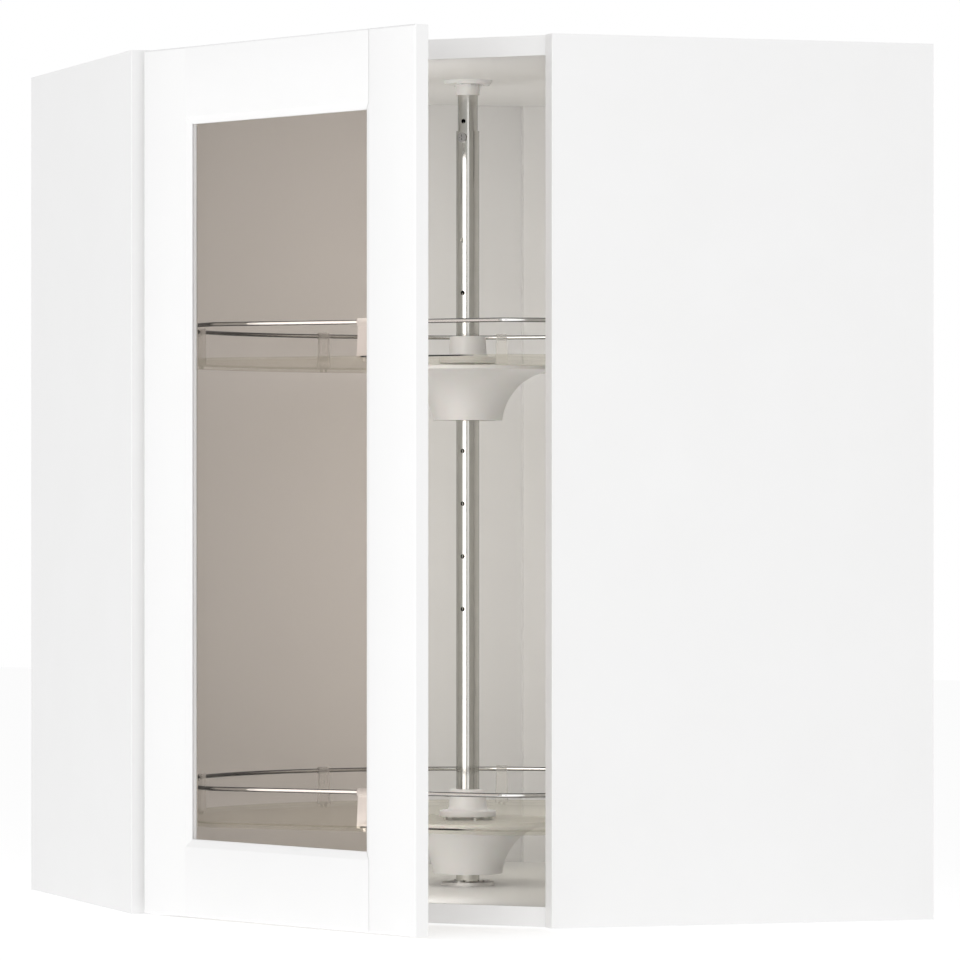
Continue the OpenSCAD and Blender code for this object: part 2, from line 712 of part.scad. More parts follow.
module socket_screws() {
    color("white") for (a = [30 : 120 : 270]) rotate([0, 0, a])
        translate([socket_screw_r, 0, ceiling_z - socket_t]) mirror([0, 0, 1]) screw(3.2, 1.2, 1.9, socket_t);
}

// The collar is pinned to the pole, and the hub turns on the ring that lies on it
module stop_collar(tray_z) {
    top = tray_z - sleeve_drop - ring_t;
    color("whitesmoke") difference() {
        translate([0, 0, top - stop_h]) ring(stop_r, tube_d / 2 + fit, stop_h);
        translate([0, 0, tray_z - stop_pin_drop]) rotate([90, 0, 0])
            cylinder(d = adjust_d - 2 * fit, h = 3 * stop_r, center = true);
    }
}
module stop_pin(tray_z) {
    color("silver") translate([0, 0, tray_z - stop_pin_drop]) rotate([90, 0, 0])
        cylinder(d = adjust_d - 4 * fit, h = 2 * stop_r, center = true);
}
module bearing_ring(tray_z) {
    color("ivory") translate([0, 0, tray_z - sleeve_drop - ring_t]) ring(stop_r, tube_d / 2 + fit, ring_t);
}

module upper_stop_collar() { stop_collar(upper_tray_z); }
module lower_stop_collar() { stop_collar(lower_tray_z); }
module upper_stop_pin() { stop_pin(upper_tray_z); }
module lower_stop_pin() { stop_pin(lower_tray_z); }
module upper_bearing_ring() { bearing_ring(upper_tray_z); }
module lower_bearing_ring() { bearing_ring(lower_tray_z); }

// Trays
// A disc with a straight front edge and rounded front corners
module dee(r, front, c, h) {
    cx = corner_x(r, front, c);
    cy = c - front;
    far = 3 * c;
    a = corner_a(r, front, c);
    difference() {
        intersection() {
            cylinder(r = r, h = h, $fn = 180);
            translate([-r - over, -front, 0]) cube([2 * r + 2 * over, front + r + over, h]);
        }
        for (side = [0, 1]) mirror([side, 0, 0]) translate([cx, cy, -over]) difference() {
            linear_extrude(h + 2 * over)
                polygon([[0, 0], [0, -far], [far, -far], [far * cos(a), -far * sin(a)]]);
            translate([0, 0, -over]) cylinder(r = c, h = h + 4 * over);
        }
    }
}

// Puts children at a clip's place: x along the rail, y outwards, z up from the tray's underside
module at_clip(a) { rotate([0, 0, a - 90]) translate([0, rail_r, 0]) children(); }
module at_front(x) { translate([x, -rail_front, 0]) rotate([0, 0, 180]) children(); }

module prongs(w, play, low, high) {
    for (x = [-w / 4, w / 4]) translate([x, -prong_in, low])
        cylinder(d = prong_d + 2 * play, h = high - low, $fn = 24);
}

module each_clip() {
    for (a = clip_angles) at_clip(a) { $w = clip_w; children(); }
    at_front(joint_clip_x) { $w = joint_clip_w; children(); }
}

module tray_lip(extra) {
    difference() {
        translate([0, 0, tray_t]) dee(tray_r, tray_front, tray_corner_r, lip_h + extra);
        translate([0, 0, tray_t - over])
            dee(tray_r - lip_w, tray_front - lip_w, tray_corner_r - lip_w, lip_h + extra + 2 * over);
    }
}

module tray(tray_z) {
    color([0.85, 0.85, 0.8, 0.5]) translate([0, 0, tray_z]) difference() {
        union() {
            dee(tray_r, tray_front, tray_corner_r, tray_t);
            tray_lip(0);
        }
        translate([0, 0, -over]) cylinder(r = sleeve_r + fit, h = tray_t + 2 * over);
        for (a = [45 : 90 : 315]) rotate([0, 0, a]) translate([hub_screw_r, 0, -over])
            cylinder(d = hub_screw_d + 0.4, h = tray_t + 2 * over);
        each_clip() prongs($w, 0.1, -over, tray_t + lip_h + over);
    }
}

module wire_arc(r, from, angle) {
    rotate([0, 0, from]) rotate_extrude(angle = angle, $fn = 144)
        translate([r, 0]) circle(d = wire_d, $fn = 12);
}
// The rail: an arc, a straight front and two bends that touch both, in lengths that meet
// inside the clips
module rail(tray_z) {
    c = tray_corner_r - rail_inset;
    cx = corner_x(rail_r, rail_front, c);
    a = corner_a(rail_r, rail_front, c);
    play = asin(butt_gap / 2 / rail_r);
    color("silver") translate([0, 0, tray_z + rail_rise]) {
        for (i = [0 : clip_count - 2])
            wire_arc(rail_r, clip_first + 2 * i * clip_step + play, 2 * (clip_step - play));
        for (side = [0, 1]) mirror([side, 0, 0]) {
            end = (side == 0 ? joint_clip_x : -joint_clip_x) + butt_gap / 2;
            wire_arc(rail_r, -a, clip_first + a - play);
            translate([cx, c - rail_front, 0]) wire_arc(c, -90, 90 - a);
            translate([end, -rail_front, 0]) rotate([0, 90, 0]) cylinder(d = wire_d, h = cx - end, $fn = 12);
        }
    }
}

// A tapered post from the tray's floor up to the wire, with a head round the wire
module clip_body(w) {
    foot = tray_t;
    head_r = wire_d / 2 + clip_wall;
    head = rail_rise + head_r;
    difference() {
        union() {
            translate([0, head_r - 2 * clip_wall, foot]) rotate([90, 0, 0])
                linear_extrude(clip_d - 2 * clip_wall)
                polygon([[-(w + clip_flare) / 2, 0], [(w + clip_flare) / 2, 0],
                    [w / 2, head - foot], [-w / 2, head - foot]]);
            translate([-w / 2, 0, rail_rise]) rotate([0, 90, 0]) cylinder(r = head_r, h = w, $fn = 32);
            prongs(w, 0, 0, foot + 2);
        }
        translate([-w, 0, rail_rise]) rotate([0, 90, 0]) cylinder(d = wire_d + 4 * fit, h = 2 * w, $fn = 24);
    }
}
module clips(tray_z) {
    color("white") translate([0, 0, tray_z]) each_clip() clip_body($w);
}

// Hubs
// The angle, about the flare's centre, at which an arc of radius r reaches the height z
function flare_a(r, z) = 180 - asin((z - flare_z) / r);

module hub_cone(tray_z) {
    rib_t = 2;
    rib_low = 14 - cone_h;
    rib_r = flare_r + cone_wall / 2;
    rib_top_a = 97;
    open_r = stop_r + 3;
    bore_r = tube_d / 2 + fit;
    back_r = flare_r + cone_wall;
    color("white") translate([0, 0, tray_z]) difference() {
        union() {
            rotate_extrude() polygon(concat(
                [[bore_r, -sleeve_drop], [bore_r, tray_t], [sleeve_r, tray_t], [sleeve_r, 0],
                 [hub_flange_r - 1, 0], [hub_flange_r, -1], [hub_flange_r, -hub_flange_t]],
                arc(flare_x, flare_z, flare_r, 90, flare_a(flare_r, -cone_h), 20),
                arc(flare_x, flare_z, back_r, flare_a(back_r, -cone_h), flare_a(back_r, -hub_flange_t), 16),
                [[sleeve_r, -hub_flange_t], [sleeve_r, -sleeve_drop]]));
            for (a = [22.5 : 45 : 337.5]) rotate([90, 0, a])
                translate([0, 0, -rib_t / 2]) linear_extrude(rib_t) polygon(concat(
                    arc(flare_x, flare_z, rib_r, flare_a(rib_r, rib_low), rib_top_a, 12),
                    [[sleeve_r - 1, -hub_flange_t + 1], [sleeve_r - 1, 1 - sleeve_drop],
                     [open_r, 1 - sleeve_drop], [open_r, rib_low]]));
        }
        for (a = [45 : 90 : 315]) rotate([0, 0, a]) translate([hub_screw_r, 0, -cone_h])
            cylinder(d = hub_screw_d + 0.4, h = cone_h + over);
    }
}

module hub_boss(tray_z) {
    fillet = 4;
    h = boss_h;
    foot = boss_flange_t;
    color("white") translate([0, 0, tray_z + tray_t]) difference() {
        rotate_extrude() polygon(concat(
            [[tube_d / 2 + fit, 0], [boss_flange_r - 0.8, 0], [boss_flange_r, 0.8], [boss_flange_r, foot - 1],
             [boss_flange_r - 1, foot]],
            arc(boss_foot_r + fillet, foot + fillet, fillet, 270, 180, 6),
            [[boss_top_r, h - 1], [boss_top_r - 1, h], [tube_d / 2 + fit, h]]));
        for (a = [45 : 90 : 315]) rotate([0, 0, a]) translate([hub_screw_r, 0, -over])
            cylinder(d = hub_screw_d, h = foot - 1.5 + over);
    }
}

// Screws from below hold the cone, the tray and the boss together
module hub_screws(tray_z) {
    color("silver") for (a = [45 : 90 : 315]) rotate([0, 0, a])
        translate([hub_screw_r, 0, tray_z - hub_flange_t]) mirror([0, 0, 1])
            screw(3.6, 2, hub_screw_d / 2 - fit, hub_flange_t + tray_t + 4);
}

module upper_tray() { tray(upper_tray_z); }
module upper_rail() { rail(upper_tray_z); }
module upper_clips() { clips(upper_tray_z); }
module upper_hub_cone() { hub_cone(upper_tray_z); }
module upper_hub_boss() { hub_boss(upper_tray_z); }
module upper_hub_screws() { hub_screws(upper_tray_z); }
module lower_tray() { tray(lower_tray_z); }
module lower_rail() { rail(lower_tray_z); }
module lower_clips() { clips(lower_tray_z); }
module lower_hub_cone() { hub_cone(lower_tray_z); }
module lower_hub_boss() { hub_boss(lower_tray_z); }
module lower_hub_screws() { hub_screws(lower_tray_z); }

left_side_panel();
right_side_panel();
top_panel();
bottom_panel();
left_back_panel();
right_back_panel();
left_corner_board();
right_corner_board();
cam_locks();
cam_bolts();
wood_dowels();
left_hanging_bracket();
right_hanging_bracket();
bracket_screws();
hinge_plates();
hinge_arms();
plate_screws();
pole_foot();
foot_screws();
pole_outer_tube();
pole_inner_tube();
pole_lock_screw();
pole_socket();
socket_screws();
upper_stop_collar();
upper_stop_pin();
upper_bearing_ring();
lower_stop_collar();
lower_stop_pin();
lower_bearing_ring();
left_stile();
right_stile();
top_rail();
bottom_rail();
glass_pane();
glass_seal();
glass_beads();
hinge_cups();
hinge_pins();
cup_screws();
door_pads();
upper_tray();
upper_rail();
upper_clips();
upper_hub_cone();
upper_hub_boss();
upper_hub_screws();
lower_tray();
lower_rail();
lower_clips();
lower_hub_cone();
lower_hub_boss();
lower_hub_screws();
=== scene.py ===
# Corner wall cabinet: glass door on the diagonal front, two trays turning on a pole
import json
import math
import bmesh
import bpy
import numpy as np
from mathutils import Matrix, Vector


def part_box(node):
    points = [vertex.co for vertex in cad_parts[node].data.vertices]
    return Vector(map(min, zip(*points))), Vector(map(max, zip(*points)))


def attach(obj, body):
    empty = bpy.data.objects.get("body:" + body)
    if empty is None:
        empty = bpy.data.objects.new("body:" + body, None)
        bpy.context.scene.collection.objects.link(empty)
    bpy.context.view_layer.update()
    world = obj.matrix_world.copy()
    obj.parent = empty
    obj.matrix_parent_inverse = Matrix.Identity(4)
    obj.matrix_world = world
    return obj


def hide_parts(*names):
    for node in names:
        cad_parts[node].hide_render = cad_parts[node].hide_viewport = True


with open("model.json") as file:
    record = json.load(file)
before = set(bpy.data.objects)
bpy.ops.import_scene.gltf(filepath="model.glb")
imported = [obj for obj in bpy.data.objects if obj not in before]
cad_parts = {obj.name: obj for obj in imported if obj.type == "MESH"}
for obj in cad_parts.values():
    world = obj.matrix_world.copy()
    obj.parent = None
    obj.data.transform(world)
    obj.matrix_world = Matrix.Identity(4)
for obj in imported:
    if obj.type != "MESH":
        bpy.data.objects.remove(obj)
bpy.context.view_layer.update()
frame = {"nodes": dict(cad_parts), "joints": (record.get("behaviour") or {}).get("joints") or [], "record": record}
nodes = frame["nodes"]
mm = 0.001  # shapes are worked out in millimetres, the room and the camera in metres
print("frame loaded:", len(nodes), "pieces")


# A place of the frame in millimetres, without the last digits that its file format leaves
def inMillimetres(spot):
    return np.round(np.array(spot) / mm, 4)


class Value:  # one output socket of a shader tree, used in plain expressions
    def __init__(self, finish, socket):
        self.finish = finish
        self.socket = socket

    def maths(self, operation, first, second):
        return self.finish.node("ShaderNodeMath", {"operation": operation}, {0: first, 1: second})

    def __add__(self, other):
        return self.maths("ADD", self, other)

    def __radd__(self, other):
        return self.maths("ADD", other, self)

    def __sub__(self, other):
        return self.maths("SUBTRACT", self, other)

    def __rsub__(self, other):
        return self.maths("SUBTRACT", other, self)

    def __mul__(self, other):
        return self.maths("MULTIPLY", self, other)

    def __rmul__(self, other):
        return self.maths("MULTIPLY", other, self)

    def __truediv__(self, other):
        return self.maths("DIVIDE", self, other)

    def __pow__(self, other):
        return self.maths("POWER", self, other)

    def __mod__(self, other):
        return self.maths("MODULO", self, other)

    def __lt__(self, other):
        return self.maths("LESS_THAN", self, other)

    def __gt__(self, other):
        return self.maths("GREATER_THAN", self, other)

    def largest(self, other):
        return self.maths("MAXIMUM", self, other)

    def kept(self):  # held between 0 and 1
        return self.maths("MINIMUM", self.largest(0.0), 1.0)


class Finish:  # one material, or the world, and its node tree
    def __init__(self, name, kind="Material"):
        library = bpy.data.worlds if kind == "World" else bpy.data.materials
        self.kind = kind
        self.owner = library.new(name)
        self.owner.use_nodes = True
        self.tree = self.owner.node_tree
        self.tree.nodes.clear()

    def node(self, kind, settings=None, sockets=None, result=0):
        made = self.tree.nodes.new(kind)
        for name, value in (settings or {}).items():
            setattr(made, name, value)
        for name, value in (sockets or {}).items():
            if isinstance(value, Value):
                self.tree.links.new(value.socket, made.inputs[name])
            else:
                made.inputs[name].default_value = value
        return Value(self, made.outputs[result])

    def places(self):  # object coordinates, in metres
        return self.node("ShaderNodeTexCoord", result="Object")

    def axes(self):
        split = self.node("ShaderNodeSeparateXYZ", {}, {0: self.places()})
        return [Value(self, socket) for socket in split.socket.node.outputs]

    def stretched(self, scale, turn=0.0):  # object coordinates, scaled and turned about z
        return self.node("ShaderNodeMapping", {}, {"Vector": self.places(), "Scale": scale,
                                                   "Rotation": (0, 0, turn)})

    def noise(self, scale, detail=2.0, where=None, roughness=0.5):
        return self.node("ShaderNodeTexNoise", {}, {"Vector": where or self.places(), "Scale": scale,
                                                    "Detail": detail, "Roughness": roughness})

    def tint(self, factor, first, second):  # colour from first to second; 6, 7 and 2 are colour sockets
        return self.node("ShaderNodeMix", {"data_type": "RGBA"}, {0: factor, 6: first, 7: second}, 2)

    def facing(self, blend):  # 0 where the surface faces the eye, 1 where it is seen edge on
        return self.node("ShaderNodeLayerWeight", {}, {"Blend": blend}, "Facing")

    def bump(self, height, distance, strength):
        return self.node("ShaderNodeBump", {}, {"Height": height, "Distance": distance,
                                                "Strength": strength})

    def surface(self, sockets):
        return self.node("ShaderNodeBsdfPrincipled", {}, sockets)

    def clear(self, colour):
        return self.node("ShaderNodeBsdfTransparent", {}, {"Color": colour})

    def between(self, factor, first, second):  # a surface that goes from first to second
        return self.node("ShaderNodeMixShader", {}, {0: factor, 1: first, 2: second})

    def output(self, shader):
        end = self.tree.nodes.new("ShaderNodeOutput" + self.kind)
        self.tree.links.new(shader.socket, end.inputs["Surface"])
        return self.owner


# A grey, with red raised and blue lowered by its warmth
def grey(value, warmth=0.0):
    return (value * (1 + warmth), value, value * (1 - warmth), 1)


finishValues = {
    "boardTone": 0.90,       # white melamine of the carcass
    "doorTone": 0.94,        # white foil of the door
    "creamTone": 0.92,       # glazing beads
    "plasticTone": 0.84,     # hub cones, bosses and ceiling socket
    "trayTone": 0.84,
    "clipTone": 0.95,
    "lacquerTone": 0.85,     # white screws
    "chromeTone": 0.66,      # pole
    "wireTone": 0.80,
    "plateTone": 0.62,       # nickel-plated fittings
    "footTone": 0.86,        # foot plate of the pole and its screws
    "lockTone": 0.40,        # lock screw of the pole
    "glassTint": (0.91, 0.875, 0.85, 1),
    "trayTint": (0.95, 0.943, 0.912, 1),
    "clipTint": (0.95, 0.945, 0.93, 1),
    "tubeLines": (1, 1, 900),    # scale of the grain: fine lines round the tube
    "wireGrain": (900, 900, 900),
    "frontClip": -0.215,     # the clips in front of this y are white
}
# Painted shade on the front lip of each tray, in metres: a dark line that starts at the rail's front joint
# and thins out towards the right; "step" is the distance from the lower tray to the upper one
lipShadeValues = {"front": -0.2338, "step": 0.43, "top": 0.0836, "start": 0.007, "end": 0.128, "fade": 0.02}


# White board: a pearl grain of about a millimetre, broad faint clouds and a slightly uneven sheen;
# roughness = middle - 0.05 + 0.1 * noise
def boardFinish(name, tone, roughness, grain):
    f = Finish(name)
    pearl = f.noise(1400, 3)
    cloud = f.noise(14, 2)
    base = f.tint(cloud, grey(tone * 0.985, 0.002), grey(tone * 1.012, 0.0))
    rough = roughness - 0.05 + 0.1 * f.noise(260, 2)
    return f.output(f.surface({"Base Color": base, "Roughness": rough, "IOR": 1.48,
                               "Normal": f.bump(pearl, grain, 0.35)}))


# Chrome: mirror plating with fine lines round the tube and a faint haze, and a painted dark reflection at its
# edges:
# the colour is darkened where it is seen edge on; paintedEdge = paintedEdgeShade * (facing - edgeFrom) / edgeWide,
# held in 0 to 1
def chromeFinish(name, tone, across, haze, olive, paintedEdgeShade, edgeFrom, edgeWide):
    f = Finish(name)
    lines = f.noise(1.0, 4, f.stretched(across), 0.7)
    smear = f.noise(38, 3)
    plating = f.tint(smear, (tone * 0.94, tone * 0.93, tone * (0.93 - olive), 1),
                     (tone * 1.05, tone * 1.04, tone * (1.04 - olive), 1))
    # painted dark reflection: the plating's colour is darkened towards the outline, where it is seen edge on
    paintedEdge = (paintedEdgeShade * ((f.facing(0.5) - edgeFrom) / edgeWide)).kept()
    base = f.tint(paintedEdge, plating, grey(tone * 0.1, 0.02))
    rough = haze + 0.07 * (lines - 0.35).kept() + 0.05 * (smear - 0.45).kept()
    return f.output(f.surface({"Base Color": base, "Metallic": 1.0, "Roughness": rough,
                               "Normal": f.bump(lines, 0.00001, 0.5)}))


# Nickel-plated steel: brushed at a small scale, a little darker in blotches
def platedFinish(name, tone, roughness):
    f = Finish(name)
    brushed = f.noise(1.0, 3, f.stretched((300, 300, 2600)), 0.6)
    blotch = f.noise(90, 3)
    base = f.tint(blotch, grey(tone * 0.86, 0.02), grey(tone * 1.06, 0.01))
    rough = roughness - 0.06 + 0.16 * brushed
    return f.output(f.surface({"Base Color": base, "Metallic": 1.0, "Roughness": rough,
                               "Normal": f.bump(brushed, 0.00002, 0.4)}))


# Moulded plastic: a soft spark-eroded grain and faint broad clouds of a slightly warmer tone
def plasticFinish(name, tone, warmth, roughness):
    f = Finish(name)
    grain = f.noise(900, 2)
    flow = f.noise(22, 3)
    base = f.tint(flow, grey(tone * 0.97, warmth * 1.5), grey(tone * 1.02, warmth))
    rough = roughness - 0.05 + 0.1 * grain
    return f.output(f.surface({"Base Color": base, "Roughness": rough, "IOR": 1.49,
                               "Subsurface Weight": 0.08, "Subsurface Scale": 0.004,
                               "Normal": f.bump(grain, 0.00003, 0.4)}))


# Clear tray plastic: mostly see-through, with a milky body and fine scuffs, and a painted shade on the lip;
# paintedLipShade = lip * (x > start) * (end - x) / fade, held in 0 to 1; milk = 0.06 + 0.24 * facing^2 +
# paintedLipShade
def trayFinish(name, tone, tint):
    f = Finish(name)
    scuff = f.noise(1.0, 5, f.stretched((120, 900, 300), 0.6), 0.65)
    cloud = f.noise(11, 2)
    x, y, z = f.axes()
    lip = (y < lipShadeValues["front"]) * (z % lipShadeValues["step"] > lipShadeValues["top"])
    # painted shade: a dark, nearly opaque line on the lip beside the rail's front joint, fading to the right
    paintedLipShade = lip * (x > lipShadeValues["start"]) * ((lipShadeValues["end"] - x) / lipShadeValues["fade"]).kept()
    milky = f.tint(cloud, (tone * 0.91, tone * 0.88, tone * 0.80, 1),
                   (tone * 0.98, tone * 0.955, tone * 0.88, 1))
    base = f.tint(paintedLipShade, milky, grey(0.012))
    body = f.surface({"Base Color": base, "Roughness": 0.2 + 0.16 * scuff, "IOR": 1.46,
                      "Normal": f.bump(scuff, 0.00002, 0.3)})
    milk = 0.06 + 0.24 * f.facing(0.32) ** 2 + paintedLipShade
    return f.output(f.between(milk.kept(), f.clear(tint), body))


# Clear clips: see-through with a milky edge; the one at the front, where the wire's ends meet, is white;
# solid = (y < front) + 0.22 + 0.5 * facing^2, held in 0 to 1
def clipFinish(name, tone, tint, front):
    f = Finish(name)
    grain = f.noise(900, 2)
    y = f.axes()[1]
    base = f.tint(grain, grey(tone * 0.97, 0.01), grey(tone * 1.02, 0.01))
    body = f.surface({"Base Color": base, "Roughness": 0.3 + 0.1 * grain, "IOR": 1.49,
                      "Normal": f.bump(grain, 0.00002, 0.4)})
    solid = (y < front) + 0.22 + 0.5 * f.facing(0.4) ** 2
    return f.output(f.between(solid.kept(), f.clear(tint), body))


# Glass pane: tinted clear, with faint wiping marks in its sheen; mirror = 0.04 + 0.9 * facing^5
def glassFinish(name, tint):
    f = Finish(name)
    wipe = f.noise(1.0, 4, f.stretched((30, 30, 7), 0.4), 0.6)
    gloss = f.surface({"Base Color": grey(0.25), "Roughness": 0.015 + 0.04 * wipe, "IOR": 1.52})
    mirror = 0.04 + 0.9 * f.facing(0.5) ** 5
    return f.output(f.between(mirror, f.clear(tint), gloss))


# Soft dark strip with a fine grain
def sealFinish(name):
    f = Finish(name)
    grain = f.noise(700, 3)
    base = f.tint(grain, grey(0.10), grey(0.14))
    return f.output(f.surface({"Base Color": base, "Roughness": 0.55 + 0.2 * grain, "IOR": 1.45,
                               "Normal": f.bump(grain, 0.00005, 0.5)}))


# Raw beech: rays and flecks along the dowel
def beechFinish(name):
    f = Finish(name)
    rays = f.noise(1.0, 4, f.stretched((220, 220, 40)), 0.6)
    base = f.tint(rays, (0.52, 0.34, 0.19, 1), (0.70, 0.50, 0.30, 1))
    return f.output(f.surface({"Base Color": base, "Roughness": 0.6 + 0.2 * rays, "IOR": 1.4,
                               "Normal": f.bump(rays, 0.0001, 0.5)}))


# Clear pad: milky and soft
def padFinish(name):
    f = Finish(name)
    cloud = f.noise(500, 2)
    base = f.tint(cloud, grey(0.72), grey(0.8))
    return f.output(f.surface({"Base Color": base, "Roughness": 0.2 + 0.1 * cloud, "IOR": 1.45,
                               "Alpha": 0.55}))


look = finishValues
finishes = {
    "white_board": boardFinish("whiteBoard", look["boardTone"], roughness=0.42, grain=0.00003),
    "back_board": boardFinish("backBoard", look["boardTone"] * 0.98, roughness=0.5, grain=0.00003),
    "white_door": boardFinish("whiteDoor", look["doorTone"], roughness=0.34, grain=0.00002),
    "glass": glassFinish("paneGlass", look["glassTint"]),
    "dark_seal": sealFinish("darkSeal"),
    "ivory_plastic": plasticFinish("creamStrip", look["creamTone"], warmth=0.012, roughness=0.4),
    "white_plastic": plasticFinish("whiteMoulding", look["plasticTone"], warmth=0.006, roughness=0.36),
    "tray_plastic": trayFinish("trayPlastic", look["trayTone"], look["trayTint"]),
    "white_screws": plasticFinish("whiteLacquer", look["lacquerTone"], warmth=0.0, roughness=0.25),
    "clear_pads": padFinish("clearPad"),
    # tube and wires: their outlines get a painted dark reflection, darker for the wires
    "chrome": chromeFinish("tubeChrome", look["chromeTone"], look["tubeLines"], haze=0.06, olive=0.05,
                           paintedEdgeShade=0.7, edgeFrom=0.5, edgeWide=0.4),
    "wire": chromeFinish("wireChrome", look["wireTone"], look["wireGrain"], haze=0.08, olive=0.02,
                         paintedEdgeShade=0.9, edgeFrom=0.14, edgeWide=0.22),
    "clips": clipFinish("clearClips", look["clipTone"], look["clipTint"], look["frontClip"]),
    "foot": platedFinish("palePlate", look["footTone"], roughness=0.42),
    "lock": platedFinish("lockSteel", look["lockTone"], roughness=0.22),
    "plated_steel": platedFinish("nickelPlate", look["plateTone"], roughness=0.28),
    "beech": beechFinish("rawBeech"),
}
slotOf = {part["node"]: part["material_slot"] for part in frame["record"]["subparts"]}
# Nodes with a look of their own within their slot
ownFinish = {"upper_clips": "clips", "lower_clips": "clips", "upper_rail": "wire", "lower_rail": "wire",
             "pole_foot": "foot", "foot_screws": "foot", "pole_lock_screw": "lock"}
for name, piece in nodes.items():
    piece.data.materials.clear()
    piece.data.materials.append(finishes[ownFinish.get(name, slotOf[name])])
print("finishes made:", len(finishes))


# Degrees between two faces from which their edge is drawn sharp, or gets a small bevel in two steps
edgeValues = {"sharpFrom": 32, "bevelFrom": 35, "bevelSteps": 2}


# Puts one object in the scene, gives it a finish and a body, and hides the node it stands for
def place(mesh, slot, body, node=None):
    mesh.validate()
    mesh.polygons.foreach_set("use_smooth", np.ones(len(mesh.polygons), bool))
    mesh.set_sharp_from_angle(angle=math.radians(edgeValues["sharpFrom"]))
    piece = bpy.data.objects.new(mesh.name, mesh)
    bpy.context.scene.collection.objects.link(piece)
    mesh.materials.append(finishes[ownFinish.get(node, slot)])
    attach(piece, body)
    if node:
        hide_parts(node)


# Faces over rows of points, numbered from first. Each row closes on itself. The last row joins the
# first one; with ends, the first and the last row get a face of their own instead
def gridFaces(rows, columns, ends=False, first=0):
    here = first + np.arange(rows * columns).reshape(rows, columns)
    across = np.roll(here, -1, 1)
    quads = np.stack([here, across, np.roll(across, -1, 0), np.roll(here, -1, 0)], -1)
    if not ends:
        return quads.reshape(-1, 4).tolist()
    return [here[0][::-1].tolist(), here[-1].tolist()] + quads[:-1].reshape(-1, 4).tolist()


# A closed mesh from points in millimetres, with its normals outwards
def closedMesh(name, points, faces):
    mesh = bpy.data.meshes.new(name)
    mesh.from_pydata((points * mm).reshape(-1, 3).tolist(), [], faces)
    shape = bmesh.new()
    shape.from_mesh(mesh)
    bmesh.ops.recalc_face_normals(shape, faces=shape.faces)
    shape.to_mesh(mesh)
    shape.free()
    return mesh


# A closed mesh over rows of points (rows, columns, 3)
def gridMesh(name, points, ends=False):
    return closedMesh(name, points, gridFaces(*points.shape[:2], ends))


# Points on an arc, from one angle to another in degrees: centre + radius (cos a, sin a)
def arcPoints(centre, radius, start, end, count):
    angle = np.radians(np.linspace(start, end, count))
    return np.stack([centre[0] + radius * np.cos(angle), centre[1] + radius * np.sin(angle)], -1)


# A closed profile (radius, height) turned round the pole: x = r cos a, y = r sin a
def turned(name, profile, steps):
    angle = np.linspace(0, 2 * math.pi, steps, endpoint=False)[:, None]
    radius, height = profile[None, :, 0], profile[None, :, 1]
    x, y = radius * np.cos(angle), radius * np.sin(angle)
    return gridMesh(name, np.stack([x, y, height + 0 * angle], -1))


# Outline of a tray: a circle cut by a straight front, with rounded front corners.
# Returns the points, counter-clockwise from the right corner, and the outward direction at each
def deeOutline(radius, front, corner, roundSteps, cornerSteps, frontSteps):
    reach = math.sqrt((radius - corner) ** 2 - (front - corner) ** 2)
    lean = math.degrees(math.asin((front - corner) / (radius - corner)))
    main = arcPoints((0, 0), radius, -lean, 180 + lean, roundSteps)
    left = arcPoints((-reach, corner - front), corner, 180 + lean, 270, cornerSteps)
    right = arcPoints((reach, corner - front), corner, -90, -lean, cornerSteps)
    straight = np.stack([np.linspace(-reach, reach, frontSteps), np.full(frontSteps, -front)], -1)
    points = np.concatenate([main[:-1], left[:-1], straight[:-1], right[:-1]])
    directions = np.concatenate([
        main[:-1] / radius,
        (left[:-1] - [-reach, corner - front]) / corner,
        np.tile([0.0, -1.0], (frontSteps - 1, 1)),
        (right[:-1] - [reach, corner - front]) / corner])
    return points, directions


trayLow, trayHigh = (inMillimetres(corner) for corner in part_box("upper_tray"))
trayValues = {
    "undersides": {level: inMillimetres(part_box(level + "_tray")[0])[2] for level in ("upper", "lower")},
    "radius": trayHigh[1], "front": -trayLow[1], "corner": 20,
    "floor": 3, "lip": 2, "lipWidth": 3, "edgeRound": 0.9, "lipFillet": 0.8, "flatFrom": 12,
    "holeRadius": 15.05, "steps": (200, 14, 24),
}
railValues = {"inset": 4, "wire": 4, "rise": 36, "steps": (260, 20, 40), "around": 20}


# A tray: its edge profile (distance in from the outline, height) carried round the outline,
# closed over the floor and the underside by rings at the hub's hole
def makeTray(name, z, node, body):
    v = trayValues
    outline, outward = deeOutline(v["radius"], v["front"], v["corner"], *v["steps"])
    top, edge, wide, fillet = v["floor"] + v["lip"], v["edgeRound"], v["lipWidth"], v["lipFillet"]
    rim = np.concatenate([
        [[v["flatFrom"], 0]],
        arcPoints((edge, edge), edge, 270, 180, 5),
        arcPoints((edge, top - edge), edge, 180, 90, 5),
        arcPoints((wide - edge, top - edge), edge, 90, 0, 5),
        arcPoints((wide + fillet, v["floor"] + fillet), fillet, 180, 270, 5),
        [[v["flatFrom"], v["floor"]]]])
    inward = outline[None] - outward[None] * rim[:, 0, None, None]
    rings = np.concatenate([inward, np.broadcast_to(rim[:, 1, None, None], inward.shape[:2] + (1,))], -1)
    angle = np.arctan2(outline[:, 1], outline[:, 0])
    hole = np.stack([np.cos(angle), np.sin(angle)], -1) * v["holeRadius"]
    shut = [np.concatenate([hole, np.full((len(hole), 1), height)], -1)[None]
            for height in (v["floor"], 0)]
    points = np.concatenate([rings] + shut) + [0, 0, z]
    place(gridMesh(name, points), "tray_plastic", body, node)


